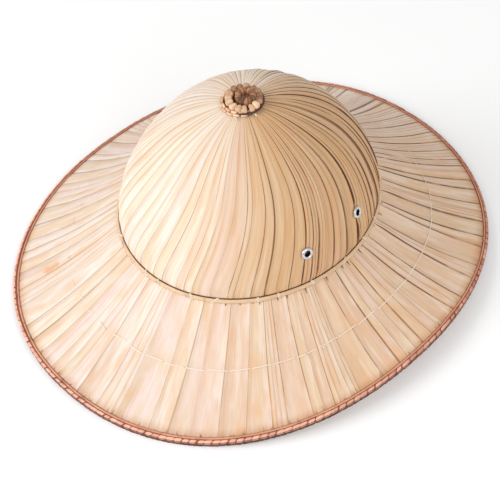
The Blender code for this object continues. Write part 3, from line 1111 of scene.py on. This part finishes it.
def stitchLayOut(bench, sizes):
    tubes, rolled, along, number = threadUnits(bench, sizes, sizes["Stitches"])
    seed = sizes["Seed"]
    even = math.tau * (number + 0.5) / sizes["Stitches"]
    # On the wearer's left the thread hardly dips, so its stitches run together.
    tight = ease(sine(even - 0.2), 0.1, 0.7)
    fill = between(chance(number, seed, 0.35, 0.85), 1.02, tight)
    angle = math.tau * (number + 0.5 + (along - 0.5) * fill) / sizes["Stitches"]
    fromMiddle = along * 2.0 - 1.0
    dip = 1.0 - fromMiddle ** 8.0
    taper = maths("MAXIMUM", 1.0 - fromMiddle ** 12.0, 0.0) ** 0.5
    shift = chance(number, seed + 1.0, -1.0, 1.0)
    tilt = chance(number, seed + 2.0, -1.0, 1.0)
    slack = (shift + tilt * fromMiddle) * sizes["Slack"] * between(1.0, 0.3, tight)
    # On the wearer's right it has sunk into the leaf.
    sunk = between(0.45, 1.0, ease(sine(even - 0.2), -0.6, 0.3))
    radius = sizes["Radius"] * taper * sunk
    level = sizes["Level"] * dip * sunk
    return weld(moveTo(tubes, brimPlace(
        angle, sizes["Share"], slack + radius * cosine(rolled), level + radius * sine(rolled))))


def looseEndLayOut(bench, sizes):
    # Wisps round one knot: each starts at the knot and curls away over the leaf.
    tubes, rolled, along, number = threadUnits(bench, sizes, sizes["Wisps"])
    seed = sizes["Seed"]
    curl = chance(number, seed + 1.0, -1.2, 1.2)
    heading = chance(number, seed, 0.0, math.tau) + along * curl
    length = chance(number, seed + 2.0, 0.35, 1.0) * sizes["Length"] * (along + 0.05)
    radius = sizes["Radius"] * (1.05 - along)
    rise = sizes["Level"] + sine(along * math.pi) * sizes["Curl"] + radius * sine(rolled)
    sideways = length * cosine(heading) + radius * cosine(rolled)
    angle = sizes["Angle"] + length * sine(heading) / sizes["Reach"]
    return weld(moveTo(tubes, brimPlace(angle, sizes["Share"], sideways, rise)))


def buttonWispLayOut(bench, sizes):
    # Wisps that run down the crown from the button's foot.
    tubes, rolled, along, number = threadUnits(bench, sizes, sizes["Wisps"])
    seed = sizes["Seed"]
    heading = chance(number, seed, -1.3, 1.3)
    length = chance(number, seed + 2.0, 0.5, 1.0) * sizes["Length"] * (along + 0.05)
    radius = sizes["Radius"] * (1.05 - along)
    angle = sizes["Angle"] + (length * sine(heading) + radius * cosine(rolled)) / sizes["Reach"]
    share = sizes["Share"] - length * cosine(heading) / sizes["Dome Run"]
    return weld(moveTo(tubes, crownPlace(angle, share, sizes["Level"] + radius * sine(rolled))))


def growEnds(name, base, places, layOut):
    # A small bunch of wisps at each listed place.
    ends = []
    for number, spot in enumerate(places):
        sizes = {
            **base,
            "Seed": base["Seed"] + number,
            "Wisps": spot["wisps"],
            "Length": spot["length"],
            "Angle": math.radians(spot["degrees"]),
            "Share": spot["share"],
        }
        ends.append(growPiece(f"{name}_{number}", sizes, layOut, threadFinish))
    return ends


threadFinish = makeThreadFinish("cotton_thread_finish", (0.96, 0.87, 0.75), (0.84, 0.70, 0.55))
whippings = {
    "Whippings": 25, "Turns": 2, "Sides": 7, "Cuts": 17, "Seed": 71, "Pitch": 0.0008, "Reach": 0.0915,
    "Radius": 0.00026, "Wide": 0.0011, "High": 0.0010, "Middle": 0.0013, "Level": 0.0011,
}
dress("fold_whippings", whippings, whippingLayOut, threadFinish, "pale_cane")

stitches = {
    "Stitches": 52, "Sides": 7, "Cuts": 17, "Seed": 73, "Share": 0.474, "Slack": 0.0011,
    "Radius": 0.00030, "Level": 0.0012,
}
brimEnd = {
    "Sides": 6, "Cuts": 8, "Seed": 80, "Radius": 0.00024, "Level": 0.0012, "Curl": 0.0010, "Reach": 0.14,
}
knotPlaces = (
    {"degrees": 109.5, "share": 0.485, "wisps": 7, "length": 0.0050},
    {"degrees": 114.5, "share": 0.48, "wisps": 6, "length": 0.0040},
    {"degrees": 103.0, "share": 0.47, "wisps": 4, "length": 0.0030},
    {"degrees": 215.0, "share": 0.474, "wisps": 4, "length": 0.0030},
    {"degrees": 318.0, "share": 0.474, "wisps": 5, "length": 0.0035},
)
stitchRun = growPiece("stitch_run", stitches, stitchLayOut, threadFinish)
brimEnds = growEnds("loose_ends", brimEnd, knotPlaces, looseEndLayOut)
settle(joinPieces("brim_stitching", [stitchRun, *brimEnds]), "pale_cane")

buttonEnd = {
    "Sides": 6, "Cuts": 8, "Seed": 90, "Radius": 0.00042, "Level": 0.0012, "Reach": 0.016, "Dome Run": 0.14,
}
buttonThreadPlaces = (
    {"degrees": 151.5, "share": 0.901, "wisps": 6, "length": 0.0040},
    {"degrees": 100.0, "share": 0.905, "wisps": 6, "length": 0.0045},
)
buttonEnds = growEnds("button_ends", buttonEnd, buttonThreadPlaces, buttonWispLayOut)
settle(joinPieces("button_thread_ends", buttonEnds), "pale_cane")
print("threads sewn")


# Frayed slivers of leaf that stick out from under the rim's inner strand.
def sliverLayOut(bench, sizes):
    tubes, rolled, along, number = threadUnits(bench, sizes, sizes["Slivers"])
    seed = sizes["Seed"]
    place = chance(number, seed, -0.5, 0.5) + chance(number, seed + 1.0, -0.8, 0.8)
    angle = math.tau * (number + 0.5 + place) / sizes["Slivers"]
    length = chance(number, seed + 2.0, 0.25, 1.0) ** 2.0 * sizes["Length"]
    bend = chance(number, seed + 3.0, -0.8, 0.8) * along * length
    half = sizes["Width"] * (1.02 - along) * 0.5
    curl = along * chance(number, seed + 5.0, 0.0, sizes["Curl"])
    tubes = store(tubes, "tone", chance(number, seed + 4.0))
    return weld(moveTo(tubes, rimCourse(
        angle + (bend + half * cosine(rolled)) / sizes["Reach"], sizes["Start"] - along * length,
        sizes["Level"] + curl + half * 0.3 * sine(rolled))))


slivers = {
    "Slivers": 260, "Sides": 5, "Cuts": 4, "Seed": 97, "Length": 0.0036, "Width": 0.0007,
    "Start": -0.0038, "Level": 0.0007, "Curl": 0.0012, "Reach": 0.17,
}
sliverFinish = makeCaneFinish(
    "leaf_sliver_finish", (0.70, 0.46, 0.26), (0.30, 0.14, 0.06), (0.12, 0.05, 0.02))
dress("rim_slivers", slivers, sliverLayOut, sliverFinish, "palm_leaf")


# Small dark holes and fibres where the thread passes, outside the fold cane.
def tickLayOut(bench, sizes):
    tubes, rolled, along, number = threadUnits(bench, sizes, sizes["Ticks"])
    seed = sizes["Seed"]
    angle = math.tau * (number + chance(number, seed, 0.0, 0.8)) / sizes["Ticks"]
    # They are longest on the wearer's left, where the hat is most worn.
    wearAndShade = 0.10 + 0.90 * ease(sine(angle), 0.45, 0.95)
    length = chance(number, seed + 2.0, 0.15, 1.0) ** 1.5 * sizes["Length"] * wearAndShade
    half = sizes["Width"] * (1.02 - along) * 0.5
    tubes = store(tubes, "tone", chance(number, seed + 4.0))
    return weld(moveTo(tubes, foldCourse(
        angle + half * cosine(rolled) / sizes["Reach"], sizes["Start"] + along * length,
        sizes["Level"] + half * 0.4 * sine(rolled))))


foldTicks = {
    "Ticks": 64, "Sides": 5, "Cuts": 4, "Seed": 103, "Length": 0.0048, "Width": 0.0010,
    "Start": 0.0020, "Level": 0.0006, "Reach": 0.093,
}
tickFinish = makeCaneFinish("fold_tick_finish", (0.34, 0.18, 0.09), (0.16, 0.07, 0.03), (0.07, 0.03, 0.015))
dress("fold_ticks", foldTicks, tickLayOut, tickFinish, "palm_leaf")
print("rim and fold frayed")

# Camera at the photo's place: the fitted angles in degrees, distance and roll.
cameraForm = {
    "azimuth": 48.06,
    "elevation": 50.55,
    "roll": -4.0,
    "distance": 0.9549,
    "target": (0.0050, -0.00726, 0.00608),
    "lens": 93.6,
}


def placeCamera():
    azimuth = math.radians(cameraForm["azimuth"])
    elevation = math.radians(cameraForm["elevation"])
    back = Vector((
        math.sin(azimuth) * math.cos(elevation),
        -math.cos(azimuth) * math.cos(elevation),
        math.sin(elevation),
    ))
    camera = addObject("photo_camera", bpy.data.cameras.new("photo_camera"))
    camera.data.lens = cameraForm["lens"]
    turned = back.to_track_quat("Z", "Y").to_matrix().to_4x4()
    rolled = turned @ Matrix.Rotation(math.radians(cameraForm["roll"]), 4, "Z")
    place = Vector(cameraForm["target"]) + back * cameraForm["distance"]
    camera.matrix_world = Matrix.Translation(place) @ rolled
    bpy.context.scene.camera = camera


studio = {
    "keyPower": 17.6,
    "keyPlace": (-0.70, -1.32, 1.04),
    "fillPower": 6.0,
    "fillPlace": (1.1, -0.3, 1.0),
    "lampWidth": 1.0,
    "room": 0.58,
    "floorReach": 3.0,
    "floorShade": 0.93,
    "floorGlow": 0.12,
}


def addSoftLight(name, place, power):
    lamp = bpy.data.lights.new(name, "AREA")
    lamp.energy = power
    lamp.size = studio["lampWidth"]
    light = addObject(name, lamp)
    light.location = place
    light.rotation_mode = "QUATERNION"
    light.rotation_quaternion = Vector(place).to_track_quat("Z", "Y")


white = (1.0, 1.0, 1.0, 1.0)


def lightStudio():
    addSoftLight("key_light", studio["keyPlace"], studio["keyPower"])
    addSoftLight("fill_light", studio["fillPlace"], studio["fillPower"])
    world = bpy.data.worlds.new("studio")
    world.use_nodes = True
    background = world.node_tree.nodes["Background"]
    background.inputs["Color"].default_value = white
    background.inputs["Strength"].default_value = studio["room"]
    bpy.context.scene.world = world
    bpy.context.scene.view_settings.view_transform = "Standard"

    bpy.ops.mesh.primitive_plane_add(size=2 * studio["floorReach"])
    floor = bpy.context.object
    floor.name = "floor"
    paper = bpy.data.materials.new("floor_paper")
    paper.use_nodes = True
    shader = paper.node_tree.nodes["Principled BSDF"]
    shader.inputs["Base Color"].default_value = (*[studio["floorShade"]] * 3, 1.0)
    shader.inputs["Roughness"].default_value = 0.9
    shader.inputs["Emission Color"].default_value = white
    shader.inputs["Emission Strength"].default_value = studio["floorGlow"]
    floor.data.materials.append(paper)


placeCamera()
lightStudio()
print("scene ready")
